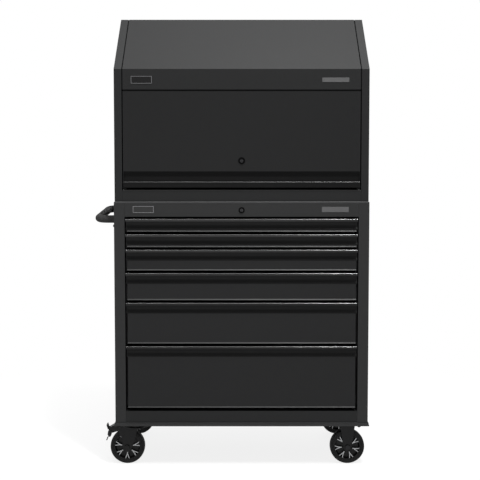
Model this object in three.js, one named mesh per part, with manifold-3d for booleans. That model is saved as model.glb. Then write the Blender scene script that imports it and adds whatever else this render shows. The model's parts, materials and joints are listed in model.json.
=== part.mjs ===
import * as THREE from 'three';
import { mergeVertices } from 'three/addons/utils/BufferGeometryUtils.js';
import Module from 'manifold-3d';

// Tool chest and rolling cabinet, in millimetres. +Z is up, the front faces -Y.
// The pieces are laid out with x = 0 at mid width, y = 0 at the cabinet's front plane and z = 0 on the
// floor.

const wasm = await Module();
wasm.setup();

// Sheet metal and clearances
const sheet = 1.5;
const seam = 0.3;
const overrun = 5;
const foldRadius = 4;
const foldSteps = 3;

// Rolling cabinet
const cabinetWidth = 915;
const cabinetDepth = 460;
const lidDepth = 8;
const headerHeight = 55;
const headerReturn = 25;
const railHeight = 55;
const railReturn = 25;
const postWidth = 38;
const postDepth = 30;
const rearFlange = 20;
const skirtHeight = 11;

// Drawers, from the top down
const drawerHeights = [49, 49, 78, 101, 151.5, 228.5];
const drawerGap = 6.3;
const gapAboveDrawers = 4;
const gapBelowDrawers = 13;
const drawerSideGap = 8.5;
const frontDepth = 18;
const hemHeight = 4;
const hemReach = 3;
const traySideGap = 17.5;
const trayRearGap = 30;
const trayFloorRise = 4;
const trayDrop = 8;

// Drawer runners
const runnerRearGap = 29.7;
const runnerHeight = 32;
const runnerRise = 22;
const runnerFlange = 11;
const runnerBar = 13.8;
const runnerInset = 4;
const rackStripWidth = 30;
const rackStripInset = 5;
const rackRearInset = 20;

// Extruded pulls
const pullGauge = 2;
const pullSideGap = 4;
const noseRadius = 3;
const drawerPullHeight = 43;
const drawerLipHeight = 11;
const drawerLipReach = 11;
const drawerPullRecess = 9;
const doorPullHeight = 59;
const doorLipHeight = 24;
const doorLipReach = 6;
const doorPullRecess = 12;
const pullWallShare = 0.47;
const pullBendShare = 0.23;
const pullFootShare = 0.28;
const curveSteps = 6;

// Hutch
const hutchSideStep = 2;
const hutchSetback = 8;
const hutchRearStep = 2;
const hutchRailHeight = 40;
const hutchRailReturn = 20;
const gapBelowDoor = 8;
const doorHeight = 345;
const gapAboveDoor = 5.5;
const fasciaHeight = 72.5;
const slopeRise = 207;
const slopeRun = 207;
const sideFlange = 27.5;
const sideGap = 3.7;
const ledgeDepth = 22;
const ledgeWidth = 13;
const fasciaReturn = 15;
const roofReturn = 25;

// Hutch door
const doorDepth = 18;
const doorHem = 25;
const doorSkirt = 23;
const hingeLeafDepth = 12;
const hingeLeafGauge = 1.2;
const hingeSetback = 1;
const pinRadius = 1.1;
const knuckleBore = 1.5;
const knuckleCount = 5;
const knuckleGap = 0.6;
const knuckleSides = 10;

// Gas struts, with their pivots measured back and down from the hinge axis
const strutDoorBack = 41;
const strutDoorDrop = 61;
const strutBodyBack = 225;
const strutBodyDrop = 62;
const strutRadius = 9;
const strutBodyLength = 150;
const strutRodRadius = 4;
const strutRodTail = 24;
const strutBoreStart = 20;
const boreSlack = 0.4;
const eyeRadius = 9;
const eyeWidth = 8;
const studRadius = 4;
const standoffRadius = 10;
const strutInset = 8;
const strutTab = 3;
const strutTabReach = 11;
const roundSides = 12;

// Locks
const lockDrop = 31.5;
const lockRise = 145;
const cabinetLockRadius = 11;
const doorLockRadius = 12.5;
const lockFlange = 2.5;
const lockBodyRadius = 9;
const lockDepth = 22;
const plugRadius = 6;
const plugSetback = 0.6;
const keySlotWidth = 1.8;
const keySlotHeight = 8;
const keySlotDepth = 6;
const camLength = 18;
const camWidth = 12;
const camGauge = 2;
const lockSides = 16;

// Side handle
const tubeRadius = 13.5;
const handleReach = 70;
const handleFront = 70;
const handleLength = 300;
const handleDrop = 67.5;
const handleRise = 17;
const handleBend = 42;
const handleFlangeGauge = 3;
const handleFlangeWidth = 34;
const handleFlangeHeight = 72;
const tubeSides = 12;
const tubeSteps = 30;

// Casters
const wheelRadius = 63.5;
const tyreThickness = 13;
const tyreWidth = 32;
const casterSideInset = 68;
const casterInset = 57;
const trail = 31;
const axleRadius = 6;
const axleHeadRadius = 9.5;
const axleHead = 5;
const forkGap = 2;
const forkGauge = 3;
const plateLength = 100;
const plateWidth = 84;
const plateGauge = 4;
const crownRadius = 36;
const crownGauge = 4;
const crownLift = 7.5;
const racewayHeight = 14.9;
const racewayRadius = 27;
const kingpinRadius = 6;
const hubRadius = 17;
const rigidHubRadius = 15;
const forkFront = 8;
const earMargin = 6;
const shoulderReach = 12;
const earDrop = 15;
const rigidForkHalf = 28;
const wheelSteps = 30;
const crownSides = 20;
const nutSides = 6;
const tyreShoulderShare = 0.15;
const tyreSideShare = 0.45;

// Wheel rims
const rimRing = 5;
const rimHubRadius = 13;
const webThickness = 10;
const spokeCount = 7;
const spokeHeight = 6;
const spokeWidth = 5.5;
const spokeSplay = 9;
const spokeFork = 25;
const wheelSlack = 0.5;
const beadInset = 1;

// Caster brakes, measured outward from the axle and up or down from the top of the tyre
const brakePivotOut = 29;
const brakePivotRise = 3;
const brakePinRadius = 3.5;
const brakeBarrelRadius = 6.5;
const brakeWidth = 30;
const brakeGauge = 2.6;
const pedalKneeOut = 47;
const pedalKneeRise = 18;
const pedalTipOut = 70;
const pedalTipRise = 4;
const pedalHookOut = 74.5;
const pedalHookRise = 18;
const shoeKneeOut = 44;
const shoeKneeRise = 7;
const shoeTipOut = 67;
const shoeTipDrop = 5;
const cheekInner = 55;
const cheekOut = 68;
const cheekDrop = 12;
const releaseRodRadius = 1.6;
const releaseRodOut = 78;
const releaseRodDrop = 40;

// Places worked out from the sizes above
const tyreTop = 2 * wheelRadius;
const crownUnder = tyreTop + crownLift;
const plateUnder = crownUnder + racewayHeight + seam;
const casterHeight = plateUnder + plateGauge + seam;
const halfWidth = cabinetWidth / 2;
const casterX = halfWidth - casterSideInset;
const openingHalf = halfWidth - postWidth;
const drawerStack = drawerHeights.reduce((sum, height) => sum + height + drawerGap, -drawerGap);
const openingHeight = gapAboveDrawers + drawerStack + gapBelowDrawers;
const cabinetHeight = railHeight + openingHeight + headerHeight;
const cabinetTop = casterHeight + cabinetHeight;
const openingTop = cabinetTop - headerHeight;
const bodyFloor = casterHeight + sheet + seam;
const bodyTop = cabinetTop - lidDepth - seam;
const trayHalf = openingHalf - traySideGap;
const trayDepth = cabinetDepth - frontDepth - trayRearGap;
const frontHalf = openingHalf - drawerSideGap;
const pullHalf = openingHalf - pullSideGap;
const rackFace = trayHalf + runnerBar + seam + sheet;
const runnerStart = postDepth + seam;
const runnerLength = cabinetDepth - runnerStart - runnerRearGap;
const hutchHalf = halfWidth - hutchSideStep;
const hutchDepth = cabinetDepth - hutchSetback - hutchRearStep;
const doorTop = hutchRailHeight + gapBelowDoor + doorHeight;
const doorBottom = hutchRailHeight + gapBelowDoor;
const fasciaBottom = doorTop + gapAboveDoor;
const slopeFoot = fasciaBottom + fasciaHeight;
const hutchHeight = slopeFoot + slopeRise;
const flangeInner = hutchHalf - sideFlange;
const doorHalf = flangeInner - sideGap;
const hingeHeight = doorTop + gapAboveDoor / 2;
const strutHalf = flangeInner - ledgeWidth - strutInset;
const forkInner = tyreWidth / 2 + forkGap;
const forkOuter = forkInner + forkGauge;
const brakePivotX = trail + brakePivotOut;
const brakePivotZ = tyreTop + brakePivotRise;
const rimRadius = wheelRadius - tyreThickness - seam;

const paint = { color: 0x1d1e20, roughness: 0.6, metalness: 0.2 };
const materials = {
  body: new THREE.MeshStandardMaterial(paint),
  drawer: new THREE.MeshStandardMaterial({ ...paint, color: 0x1a1b1d }),
  pull: new THREE.MeshStandardMaterial({ color: 0x0d0d0e, roughness: 0.28, metalness: 0.8 }),
  steel: new THREE.MeshStandardMaterial({ color: 0x8c8f92, roughness: 0.4, metalness: 0.9 }),
  black: new THREE.MeshStandardMaterial({ color: 0x101011, roughness: 0.5, metalness: 0.3 }),
  rubber: new THREE.MeshStandardMaterial({ color: 0x0c0c0c, roughness: 0.85, metalness: 0 }),
  rim: new THREE.MeshStandardMaterial({ color: 0x7d7f82, roughness: 0.35, metalness: 0.8 }),
};

// Solids

function signedVolume(position, index) {
  const [a, b, c] = [new THREE.Vector3(), new THREE.Vector3(), new THREE.Vector3()];
  let total = 0;
  for (let i = 0; i < index.count; i += 3) {
    a.fromBufferAttribute(position, index.getX(i));
    b.fromBufferAttribute(position, index.getX(i + 1));
    c.fromBufferAttribute(position, index.getX(i + 2));
    total += a.dot(b.cross(c));
  }
  return total;
}

// A closed geometry as a solid that can be joined and cut, with its faces turned outward.
function solidOf(geometry) {
  const bare = geometry.clone();
  bare.deleteAttribute('normal');
  bare.deleteAttribute('uv');
  const merged = mergeVertices(bare);
  const triangles = Uint32Array.from(merged.index.array);
  if (signedVolume(merged.attributes.position, merged.index) < 0) {
    triangles.reverse();
  }
  const vertProperties = Float32Array.from(merged.attributes.position.array);
  return new wasm.Manifold(new wasm.Mesh({ numProp: 3, vertProperties, triVerts: triangles }));
}

function geometryOf(solid) {
  const mesh = solid.getMesh();
  const geometry = new THREE.BufferGeometry();
  geometry.setAttribute('position', new THREE.BufferAttribute(mesh.vertProperties, 3));
  geometry.setIndex(new THREE.BufferAttribute(mesh.triVerts, 1));
  geometry.computeVertexNormals();
  return geometry;
}

const joined = (solids) => solids.reduce((whole, next) => whole.add(next));

// A box between two corners, given in any order.
function slab(x0, x1, y0, y1, z0, z1) {
  const box = new THREE.BoxGeometry(Math.abs(x1 - x0), Math.abs(y1 - y0), Math.abs(z1 - z0));
  box.translate((x0 + x1) / 2, (y0 + y1) / 2, (z0 + z1) / 2);
  return solidOf(box);
}

function extruded(points, length) {
  const shape = new THREE.Shape(points.map(([u, v]) => new THREE.Vector2(u, v)));
  return new THREE.ExtrudeGeometry(shape, { depth: length, bevelEnabled: false, steps: 1 });
}

// An outline of [y, z] points, extruded along X.
function prismX(points, x0, x1) {
  const geometry = extruded(points, Math.abs(x1 - x0));
  const turn = new THREE.Matrix4().makeBasis(
    new THREE.Vector3(0, 1, 0),
    new THREE.Vector3(0, 0, 1),
    new THREE.Vector3(1, 0, 0),
  );
  geometry.applyMatrix4(turn);
  geometry.translate(Math.min(x0, x1), 0, 0);
  return solidOf(geometry);
}

// An outline of [x, z] points, extruded along Y.
function prismY(points, y0, y1) {
  const geometry = extruded(points, Math.abs(y1 - y0));
  geometry.rotateX(Math.PI / 2);
  geometry.translate(0, Math.max(y0, y1), 0);
  return solidOf(geometry);
}

// An outline of [x, y] points, extruded along Z.
function prismZ(points, z0, z1) {
  const geometry = extruded(points, Math.abs(z1 - z0));
  geometry.translate(0, 0, Math.min(z0, z1));
  return solidOf(geometry);
}

// A round bar between two points.
function bar(radius, from, to, sides = roundSides) {
  const start = new THREE.Vector3(...from);
  const end = new THREE.Vector3(...to);
  const geometry = new THREE.CylinderGeometry(radius, radius, start.distanceTo(end), sides);
  const along = end.clone().sub(start).normalize();
  const turn = new THREE.Quaternion().setFromUnitVectors(new THREE.Vector3(0, 1, 0), along);
  geometry.applyQuaternion(turn);
  const middle = start.add(end).multiplyScalar(0.5);
  geometry.translate(middle.x, middle.y, middle.z);
  return solidOf(geometry);
}

// The outline of a folded sheet: a path of its outer face, and the same path moved across by the gauge.
function folded(path, gauge) {
  const normals = path.slice(1).map(([u, v], i) => {
    const [du, dv] = [u - path[i][0], v - path[i][1]];
    const length = Math.hypot(du, dv);
    return [-dv / length, du / length];
  });
  const inner = path.map(([u, v], i) => {
    const before = normals[Math.max(i - 1, 0)];
    const after = normals[Math.min(i, normals.length - 1)];
    const spread = 1 + before[0] * after[0] + before[1] * after[1];
    const shift = gauge / spread;
    return [u + (before[0] + after[0]) * shift, v + (before[1] + after[1]) * shift];
  });
  return [...path, ...inner.reverse()];
}

// A convex outline drawn in by a distance. Its points run counterclockwise.
function inset(points, distance) {
  const count = points.length;
  return points.map(([u, v], i) => {
    const [pu, pv] = points[(i + count - 1) % count];
    const [nu, nv] = points[(i + 1) % count];
    const before = Math.hypot(u - pu, v - pv);
    const after = Math.hypot(nu - u, nv - v);
    const a = [-(v - pv) / before, (u - pu) / before];
    const b = [-(nv - v) / after, (nu - u) / after];
    const shift = distance / (1 + a[0] * b[0] + a[1] * b[1]);
    return [u + (a[0] + b[0]) * shift, v + (a[1] + b[1]) * shift];
  });
}

// Points of an arc about a centre, from one angle to another, in turns of a full circle.
function arc(centre, radius, from, to, steps) {
  return Array.from({ length: steps + 1 }, (_, i) => {
    const angle = 2 * Math.PI * (from + ((to - from) * i) / steps);
    return [centre[0] + radius * Math.cos(angle), centre[1] + radius * Math.sin(angle)];
  });
}

// A rectangle whose two upper corners are rounded.
function roundedTop(left, right, low, high, radius) {
  return [
    [left, low],
    [right, low],
    ...arc([right - radius, high - radius], radius, 0, 0.25, foldSteps),
    ...arc([left + radius, high - radius], radius, 0.25, 0.5, foldSteps),
  ];
}

const cabinet = new THREE.Group();

function place(name, solid, material, parent = cabinet) {
  const mesh = new THREE.Mesh(geometryOf(solid), material);
  mesh.name = name;
  parent.add(mesh);
  return mesh;
}

function groupAt(x, y, z, parent = cabinet) {
  const group = new THREE.Group();
  group.position.set(x, y, z);
  parent.add(group);
  return group;
}

// Rolling cabinet casing

function cabinetSide(side) {
  const outer = side * halfWidth;
  const path = [
    [outer - side * rearFlange, cabinetDepth],
    [outer, cabinetDepth],
    [outer, 0],
    [outer - side * postWidth, 0],
    [outer - side * postWidth, postDepth],
  ];
  return prismZ(folded(path, -side * sheet), bodyFloor, bodyTop);
}

function cabinetTopPanel() {
  const low = cabinetTop - lidDepth;
  const along = roundedTop(0, cabinetDepth, low, cabinetTop, foldRadius);
  const across = roundedTop(-halfWidth, halfWidth, low, cabinetTop, foldRadius);
  const blank = prismX(along, -halfWidth, halfWidth).intersect(prismY(across, 0, cabinetDepth));
  const inner = halfWidth - sheet;
  const hollow = slab(-inner, inner, sheet, cabinetDepth - sheet, low - overrun, cabinetTop - sheet);
  return blank.subtract(hollow);
}

function cabinetHeader() {
  const path = [
    [headerReturn, openingTop],
    [0, openingTop],
    [0, bodyTop],
    [headerReturn, bodyTop],
  ];
  const half = openingHalf - seam;
  const face = prismX(folded(path, -sheet), -half, half);
  const height = cabinetTop - lockDrop;
  const hole = bar(lockBodyRadius + seam, [0, -overrun, height], [0, overrun, height], lockSides);
  return face.subtract(hole);
}

function cabinetBack() {
  const half = halfWidth - sheet - seam;
  const rear = cabinetDepth - sheet - seam;
  return slab(-half, half, rear - sheet, rear, bodyFloor, cabinetTop - sheet - seam);
}

function cabinetBase() {
  const inner = halfWidth + seam;
  const outer = inner + sheet;
  const front = -seam - sheet;
  const rear = cabinetDepth - front;
  const blank = slab(-outer, outer, front, rear, casterHeight, casterHeight + skirtHeight);
  const above = casterHeight + sheet;
  const top = casterHeight + skirtHeight + overrun;
  const tray = blank.subtract(slab(-inner, inner, -seam, cabinetDepth + seam, above, top));
  const half = openingHalf - seam;
  const railTop = casterHeight + railHeight;
  const rail = slab(-half, half, 0, sheet, casterHeight, railTop);
  const lip = slab(-half, half, 0, railReturn, railTop - sheet, railTop);
  return joined([tray, rail, lip]);
}

// Bottom edge of each drawer front, from the top drawer down
const drawerBottoms = drawerHeights.map((height, i) => {
  const above = drawerHeights.slice(0, i).reduce((sum, one) => sum + one + drawerGap, 0);
  return openingTop - gapAboveDrawers - above - height;
});

function rackStrip(side, front) {
  const wall = side * (halfWidth - sheet - seam);
  const face = side * rackFace;
  const path = [
    [wall, front],
    [face, front],
    [face, front + rackStripWidth],
    [wall, front + rackStripWidth],
  ];
  return prismZ(folded(path, -side * sheet), bodyFloor, openingTop);
}

function runnerRack(side) {
  const first = rackStrip(side, runnerStart + rackStripInset);
  const last = rackStrip(side, runnerStart + runnerLength - rackStripWidth - rackRearInset);
  const outer = side * (rackFace + sheet / 2);
  const web = side * (rackFace - sheet);
  const lip = side * (rackFace - runnerFlange);
  const end = runnerStart + runnerLength;
  const channels = drawerBottoms.flatMap((bottom) => {
    const low = bottom + runnerRise - runnerHeight / 2;
    const high = low + runnerHeight;
    return [
      slab(web, outer, runnerStart, end, low, high),
      slab(lip, outer, runnerStart, end, low, low + sheet),
      slab(lip, outer, runnerStart, end, high - sheet, high),
    ];
  });
  return joined([first, last, ...channels]);
}

// Drawers, with z = 0 at the bottom edge of the front

function drawerTray(height) {
  const faceTop = height - drawerPullHeight - seam;
  const wallTop = height - trayDrop;
  const wallRear = frontDepth + sheet;
  const rear = frontDepth + trayDepth;
  const floorTop = trayFloorRise + sheet;
  const hem = [
    [sheet, hemHeight],
    [0, hemHeight],
    [-hemReach, 0],
    [sheet, 0],
  ];
  const parts = [
    slab(-frontHalf, frontHalf, 0, sheet, 0, faceTop),
    slab(-frontHalf, frontHalf, 0, wallRear, 0, sheet),
    slab(-frontHalf, frontHalf, frontDepth, wallRear, 0, wallTop),
    prismX(hem, -frontHalf, frontHalf),
    slab(-trayHalf, trayHalf, frontDepth, rear, trayFloorRise, floorTop),
    slab(-trayHalf, trayHalf, rear - sheet, rear, trayFloorRise, wallTop),
  ];
  const barHalf = runnerHeight / 2 - sheet - seam;
  for (const side of [-1, 1]) {
    const wall = side * trayHalf;
    const inner = side * (trayHalf - sheet);
    const edge = side * frontHalf;
    const barFace = side * (trayHalf + runnerBar);
    parts.push(slab(edge, edge - side * sheet, 0, wallRear, 0, faceTop));
    parts.push(slab(inner, wall, frontDepth, rear, trayFloorRise, wallTop));
    const from = runnerStart + runnerInset;
    const low = runnerRise - barHalf;
    parts.push(slab(inner, barFace, from, from + runnerLength - 2 * runnerInset, low, low + 2 * barHalf));
  }
  return joined(parts);
}

// A full-width pull: a plate that ends in a lip, and a wall behind the finger channel that runs out to
// the face. up is 1 where the lip is above the channel and -1 where it is below.
function pull(half, height, lipHeight, reach, recess, plateBack, up) {
  const nose = arc([-reach + noseRadius, -noseRadius], noseRadius, 0.25, 0.5, foldSteps);
  const hook = [[plateBack, 0], ...nose, [-reach, -lipHeight]];
  const bend = new THREE.CubicBezierCurve(
    new THREE.Vector2(recess, -height * pullWallShare),
    new THREE.Vector2(recess, -height * (pullWallShare + pullBendShare)),
    new THREE.Vector2(0, -height * (1 - pullFootShare)),
    new THREE.Vector2(0, -height),
  );
  const wall = [[recess, -pullGauge / 2], ...bend.getPoints(curveSteps).map(({ x, y }) => [x, y])];
  const facing = (points) => points.map(([y, z]) => [y, up * z]);
  return joined([
    prismX(facing(folded(hook, pullGauge)), -half, half),
    prismX(facing(folded(wall, pullGauge)), -half, half),
  ]);
}

function buildDrawers() {
  drawerHeights.forEach((height, i) => {
    const drawer = groupAt(0, 0, drawerBottoms[i]);
    place(`drawer_${i + 1}_tray`, drawerTray(height), materials.drawer, drawer);
    const plateBack = frontDepth - seam;
    const solid = pull(
      pullHalf, drawerPullHeight, drawerLipHeight, drawerLipReach, drawerPullRecess, plateBack, 1,
    );
    place(`drawer_${i + 1}_pull`, solid, materials.pull, groupAt(0, 0, height, drawer));
  });
}

// Hutch, with y = 0 at its front plane and z = 0 at its underside

const hutchOutline = [
  [0, 0],
  [hutchDepth, 0],
  [hutchDepth, hutchHeight],
  [slopeRun, hutchHeight],
  [0, slopeFoot],
];

// A side of folded sheet. Its flanges follow the outline, then turn in to a ledge behind the door and
// the roof.
function hutchSide(side) {
  const at = (distance) => side * distance;
  const shell = prismX(hutchOutline, at(flangeInner), at(hutchHalf));
  const inside = inset(hutchOutline, sheet);
  const hollow = prismX(inside, at(flangeInner + sheet), at(hutchHalf - sheet));
  const ledgeOuter = inset(hutchOutline, ledgeDepth);
  const ledgeInner = inset(hutchOutline, ledgeDepth + sheet);
  const window = prismX(ledgeInner, at(flangeInner - overrun), at(flangeInner + overrun));
  const ledgeEnd = at(flangeInner - ledgeWidth);
  const ledge = prismX(ledgeOuter, ledgeEnd, at(flangeInner + sheet)).subtract(
    prismX(ledgeInner, ledgeEnd - at(overrun), at(flangeInner + overrun)),
  );
  const pivot = [behindHinge(strutBodyBack), hingeHeight - strutBodyDrop];
  const standoff = bar(
    standoffRadius, [at(hutchHalf - sheet / 2), ...pivot], [at(strutHalf + eyeWidth / 2 + seam), ...pivot],
  );
  const stud = bar(
    studRadius, [at(hutchHalf - sheet / 2), ...pivot], [at(strutHalf - eyeWidth / 2 - seam), ...pivot],
  );
  return joined([shell.subtract(hollow).subtract(window), ledge, standoff, stud]);
}

// A place behind the hinge axis, measured from the hutch's front plane
function behindHinge(back) {
  return hingeSetback + back;
}

function hutchRoof() {
  const rear = hutchDepth - sheet - seam;
  const path = [
    [fasciaReturn, fasciaBottom],
    [0, fasciaBottom],
    [0, slopeFoot],
    [slopeRun, hutchHeight],
    [rear, hutchHeight],
    [rear, hutchHeight - roofReturn],
  ];
  const skin = prismX(folded(path, -sheet), -doorHalf, doorHalf);
  const cut = inset(hutchOutline, ledgeDepth - seam);
  const ends = [-1, 1].map((side) => {
    const band = prismX(hutchOutline, side * doorHalf, side * (doorHalf - sheet));
    const past = side * overrun;
    return band.subtract(prismX(cut, side * doorHalf + past, side * (doorHalf - sheet) - past));
  });
  const wide = doorHalf + overrun;
  const below = slab(-wide, wide, -overrun, hutchDepth + overrun, -overrun, fasciaBottom);
  const behind = slab(-wide, wide, rear, hutchDepth + overrun, -overrun, hutchHeight + overrun);
  const under = slab(-wide, wide, slopeRun, hutchDepth, -overrun, hutchHeight - roofReturn);
  return joined([skin, ...ends]).subtract(below).subtract(behind).subtract(under);
}

function hutchBack() {
  const half = flangeInner - seam;
  return slab(-half, half, hutchDepth - sheet, hutchDepth, 0, hutchHeight);
}

function hutchFloor() {
  const half = flangeInner - seam;
  const rear = hutchDepth - sheet - seam;
  const railFront = slab(-half, half, 0, sheet, 0, hutchRailHeight);
  const railTop = slab(-half, half, 0, hutchRailReturn, hutchRailHeight - sheet, hutchRailHeight);
  return joined([railFront, railTop, slab(-half, half, 0, rear, 0, sheet)]);
}

// Hutch door, with its parts placed from the hutch's underside

function doorPanel() {
  const low = doorBottom + doorPullHeight + seam;
  const hemFront = doorDepth - sheet;
  const skirtTop = low + doorSkirt;
  const parts = [
    slab(-doorHalf, doorHalf, 0, sheet, low, doorTop),
    slab(-doorHalf, doorHalf, 0, doorDepth, doorTop - sheet, doorTop),
    slab(-doorHalf, doorHalf, 0, doorDepth, low, low + sheet),
    slab(-doorHalf, doorHalf, hemFront, doorDepth, doorTop - doorHem, doorTop),
    slab(-doorHalf, doorHalf, hemFront, doorDepth, doorBottom, skirtTop),
  ];
  const pivotBack = behindHinge(strutDoorBack);
  const pivotHeight = hingeHeight - strutDoorDrop;
  for (const side of [-1, 1]) {
    const edge = side * doorHalf;
    parts.push(slab(edge, edge - side * sheet, 0, doorDepth, doorBottom, doorTop));
    parts.push(slab(edge, edge - side * doorHem, hemFront, doorDepth, doorBottom, doorTop));
    const tabOuter = side * (strutHalf - eyeWidth / 2 - seam);
    const tabInner = tabOuter - side * strutTab;
    const tabLow = pivotHeight - strutTabReach;
    const tabHigh = pivotHeight + strutTabReach;
    parts.push(slab(tabInner, tabOuter, hemFront, pivotBack + strutTabReach, tabLow, tabHigh));
    parts.push(slab(tabInner, edge - side * doorHem / 2, hemFront, doorDepth, tabLow, tabHigh));
  }
  const hole = bar(
    lockBodyRadius + seam, [0, -overrun, lockRise], [0, overrun, lockRise], lockSides,
  );
  return joined(parts).subtract(hole);
}

// Knuckles of the continuous hinge, numbered along the door. Even ones belong to the fixed leaf.
const knucklePitch = (2 * doorHalf) / knuckleCount;
const knuckleRadius = gapAboveDoor / 2 - seam;

function hingeLeaf(first, up) {
  const leafFar = up * knuckleRadius;
  const leafNear = leafFar - up * hingeLeafGauge;
  const clear = knuckleRadius + knuckleGap;
  const half = doorHalf - knuckleGap;
  const parts = [slab(-half, half, clear, hingeLeafDepth, leafNear, leafFar)];
  for (let i = first; i < knuckleCount; i += 2) {
    const from = -doorHalf + i * knucklePitch + knuckleGap;
    const to = from + knucklePitch - 2 * knuckleGap;
    parts.push(slab(from, to, 0, clear + hingeLeafGauge, leafNear, leafFar));
    parts.push(bar(knuckleRadius, [from, 0, 0], [to, 0, 0], knuckleSides));
  }
  const past = doorHalf + overrun;
  return joined(parts).subtract(bar(knuckleBore, [-past, 0, 0], [past, 0, 0], knuckleSides));
}

function lockHousing(radius) {
  const flange = bar(radius, [0, -seam - lockFlange, 0], [0, -seam, 0], lockSides);
  const body = bar(lockBodyRadius, [0, -seam - lockFlange / 2, 0], [0, lockDepth, 0], lockSides);
  const bore = bar(plugRadius + seam, [0, -overrun, 0], [0, lockDepth + overrun, 0], lockSides);
  return flange.add(body).subtract(bore);
}

// A barrel with its key slot in front and its cam behind the housing.
function lockBarrel() {
  const front = -seam - lockFlange + plugSetback;
  const camFront = lockDepth + seam;
  const plug = bar(plugRadius, [0, front, 0], [0, camFront + camGauge, 0], lockSides);
  const slotHalf = keySlotWidth / 2;
  const slotTop = keySlotHeight / 2;
  const slot = slab(-slotHalf, slotHalf, front - overrun, front + keySlotDepth, -slotTop, slotTop);
  const camHalf = camWidth / 2;
  const cam = slab(-camHalf, camHalf, camFront, camFront + camGauge, -camLength, camHalf);
  return plug.add(cam).subtract(slot);
}

// Gas struts, drawn from the body pivot towards the door pivot

const strutAcross = strutDoorBack - strutBodyBack;
const strutUp = strutBodyDrop - strutDoorDrop;
const strutLength = Math.hypot(strutAcross, strutUp);
const strutAlong = [strutAcross / strutLength, strutUp / strutLength];

function strutPoint(distance, across = 0) {
  return [across, strutAlong[0] * distance, strutAlong[1] * distance];
}

function strutCylinder() {
  const body = bar(strutRadius, strutPoint(eyeRadius / 2 + strutRadius), strutPoint(strutBodyLength));
  const neck = bar(strutRodRadius, strutPoint(0), strutPoint(strutBoreStart));
  const bore = bar(
    strutRodRadius + boreSlack, strutPoint(strutBoreStart), strutPoint(strutBodyLength + overrun),
  );
  return eye(body.add(neck), strutPoint(0)).subtract(bore);
}

function eye(stem, centre) {
  const [x, y, z] = centre;
  const half = eyeWidth / 2;
  const ring = bar(eyeRadius, [x - half, y, z], [x + half, y, z]);
  const past = half + overrun;
  return stem.add(ring).subtract(bar(studRadius + boreSlack, [x - past, y, z], [x + past, y, z]));
}

function strutRod() {
  const rod = bar(strutRodRadius, strutPoint(strutRodTail), strutPoint(strutLength));
  return eye(rod, strutPoint(strutLength));
}

function buildHutch() {
  const hutch = groupAt(0, hutchSetback, cabinetTop + seam);
  place('hutch_left_side', hutchSide(-1), materials.body, hutch);
  place('hutch_right_side', hutchSide(1), materials.body, hutch);
  place('hutch_roof', hutchRoof(), materials.body, hutch);
  place('hutch_back_panel', hutchBack(), materials.body, hutch);
  place('hutch_floor_pan', hutchFloor(), materials.body, hutch);
  place('hutch_door', doorPanel(), materials.body, hutch);
  const doorPull = pull(
    doorHalf - sheet - seam, doorPullHeight, doorLipHeight, doorLipReach, doorPullRecess,
    doorDepth - sheet - seam, -1,
  );
  place('hutch_door_pull', doorPull, materials.pull, groupAt(0, 0, doorBottom, hutch));
  const hinge = groupAt(0, hingeSetback, hingeHeight, hutch);
  place('hinge_fixed_leaf', hingeLeaf(0, 1), materials.black, hinge);
  place('hinge_moving_leaf', hingeLeaf(1, -1), materials.black, hinge);
  const pinHalf = doorHalf - knuckleGap;
  const pin = bar(pinRadius, [-pinHalf, 0, 0], [pinHalf, 0, 0], knuckleSides);
  place('hinge_pin', pin, materials.steel, hinge);
  const lock = groupAt(0, 0, lockRise, hutch);
  place('door_lock_housing', lockHousing(doorLockRadius), materials.black, lock);
  place('door_lock_barrel', lockBarrel(), materials.steel, lock);
  for (const [label, side] of [['left', -1], ['right', 1]]) {
    const back = behindHinge(strutBodyBack);
    const strut = groupAt(side * strutHalf, back, hingeHeight - strutBodyDrop, hutch);
    place(`${label}_strut_cylinder`, strutCylinder(), materials.black, strut);
    place(`${label}_strut_rod`, strutRod(), materials.steel, strut);
  }
}

// Side handle: a bent tube that rises a little towards the rear, with a flange welded to each end

function sideHandle() {
  const wall = -halfWidth - seam;
  const outer = -halfWidth - handleReach;
  const lowHeight = cabinetTop - handleDrop;
  const highHeight = lowHeight + handleRise;
  const rear = handleFront + handleLength;
  const slope = (handleRise / handleLength) * handleBend;
  const at = (x, y, z) => new THREE.Vector3(x, y, z);
  const corners = [at(outer, handleFront, lowHeight), at(outer, rear, highHeight)];
  const route = new THREE.CurvePath();
  const start = at(wall - handleFlangeGauge / 2, handleFront, lowHeight);
  const first = at(outer + handleBend, handleFront, lowHeight);
  const second = at(outer, handleFront + handleBend, lowHeight + slope);
  const third = at(outer, rear - handleBend, highHeight - slope);
  const fourth = at(outer + handleBend, rear, highHeight);
  const end = at(wall - handleFlangeGauge / 2, rear, highHeight);
  route.add(new THREE.LineCurve3(start, first));
  route.add(new THREE.QuadraticBezierCurve3(first, corners[0], second));
  route.add(new THREE.LineCurve3(second, third));
  route.add(new THREE.QuadraticBezierCurve3(third, corners[1], fourth));
  route.add(new THREE.LineCurve3(fourth, end));
  const section = new THREE.Shape(
    arc([0, 0], tubeRadius, 0, 1, tubeSides).slice(1).map(([u, v]) => new THREE.Vector2(u, v)),
  );
  const tube = new THREE.ExtrudeGeometry(section, { extrudePath: route, steps: tubeSteps });
  const flangeFace = wall - handleFlangeGauge;
  const halfY = handleFlangeWidth / 2;
  const straight = handleFlangeHeight / 2 - halfY;
  const flanges = [start, end].map(({ y, z }) => joined([
    slab(flangeFace, wall, y - halfY, y + halfY, z - straight, z + straight),
    bar(halfY, [flangeFace, y, z - straight], [wall, y, z - straight], lockSides),
    bar(halfY, [flangeFace, y, z + straight], [wall, y, z + straight], lockSides),
  ]));
  return joined([solidOf(tube), ...flanges]);
}

// Casters, with x = 0 and y = 0 on the mounting plate's centre and z = 0 on the floor

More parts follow.
